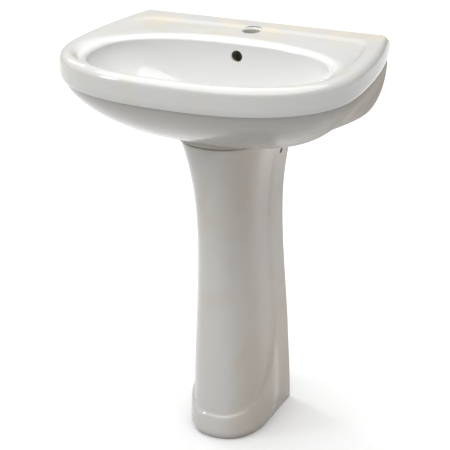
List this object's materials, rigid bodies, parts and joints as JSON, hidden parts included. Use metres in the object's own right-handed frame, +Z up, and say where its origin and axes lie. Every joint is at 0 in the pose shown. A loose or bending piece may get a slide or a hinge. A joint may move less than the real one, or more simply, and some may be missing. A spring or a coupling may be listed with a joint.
{
  "type": "pedestal sink",
  "caption": "D-shaped washbasin with a raised rim and tap ledge on a separate hollow pedestal, with a spring plug in its waste and a bottle trap hidden behind the column.",
  "frame": {"origin": "middle of the bounding box at floor level", "axes": "+Z up, +Y out of the back of the basin to the wall, +X to the basin's right seen from the room facing the wall"},
  "size_m": [0.612, 0.445, 0.835],
  "materials": {
    "china_basin": "gloss glaze",
    "china_pedestal": "gloss glaze",
    "sealant": "satin",
    "waste_chrome": "polished",
    "rubber_black": "matt",
    "brass_nut": "as cast and turned",
    "plug_chrome": "polished",
    "stem_steel": "turned",
    "plastic_white": "moulded",
    "spring_steel": "drawn wire"
  },
  "bodies": {
    "sink": {"basin": "china_basin", "pedestal": "china_pedestal", "pedestal_seal": "sealant", "waste_body": "waste_chrome", "waste_top_gasket": "rubber_black", "waste_bottom_washer": "rubber_black", "waste_backnut": "brass_nut", "plug_cartridge": "plastic_white", "plug_spring": "spring_steel", "trap_inlet_nut": "plastic_white", "trap_inlet_seal": "rubber_black", "trap_head": "plastic_white", "trap_dip_tube": "plastic_white", "trap_outlet_nut": "plastic_white", "trap_outlet_seal": "rubber_black"},
    "plug": {"plug_cap": "plug_chrome", "plug_seal": "rubber_black", "plug_stem": "stem_steel"},
    "cup_lift": {"cup_seal": "rubber_black"},
    "cup": {"trap_cup": "plastic_white"}
  },
  "joints": [
    {"name": "plug_slide", "type": "slide", "parent": "sink", "child": "plug", "axis": [0, 0, 1], "range_m": [-0.009, 0], "stiffness_N_per_m": 300, "springref_m": 0.012, "deforming": ["plug_spring"]},
    {"name": "cup_drop", "type": "slide", "parent": "sink", "child": "cup_lift", "axis": [0, 0, 1], "range_m": [-0.0061, 0]},
    {"name": "cup_turn", "type": "hinge", "parent": "cup_lift", "child": "cup", "pos_m": [0, 0.0125, 0.5], "axis": [0, 0, 1], "range_deg": [0, 720]}
  ],
  "couplings": [
    {"joint": "cup_drop", "follows": "cup_turn", "m_per_rad": -0.00047746}
  ]
}
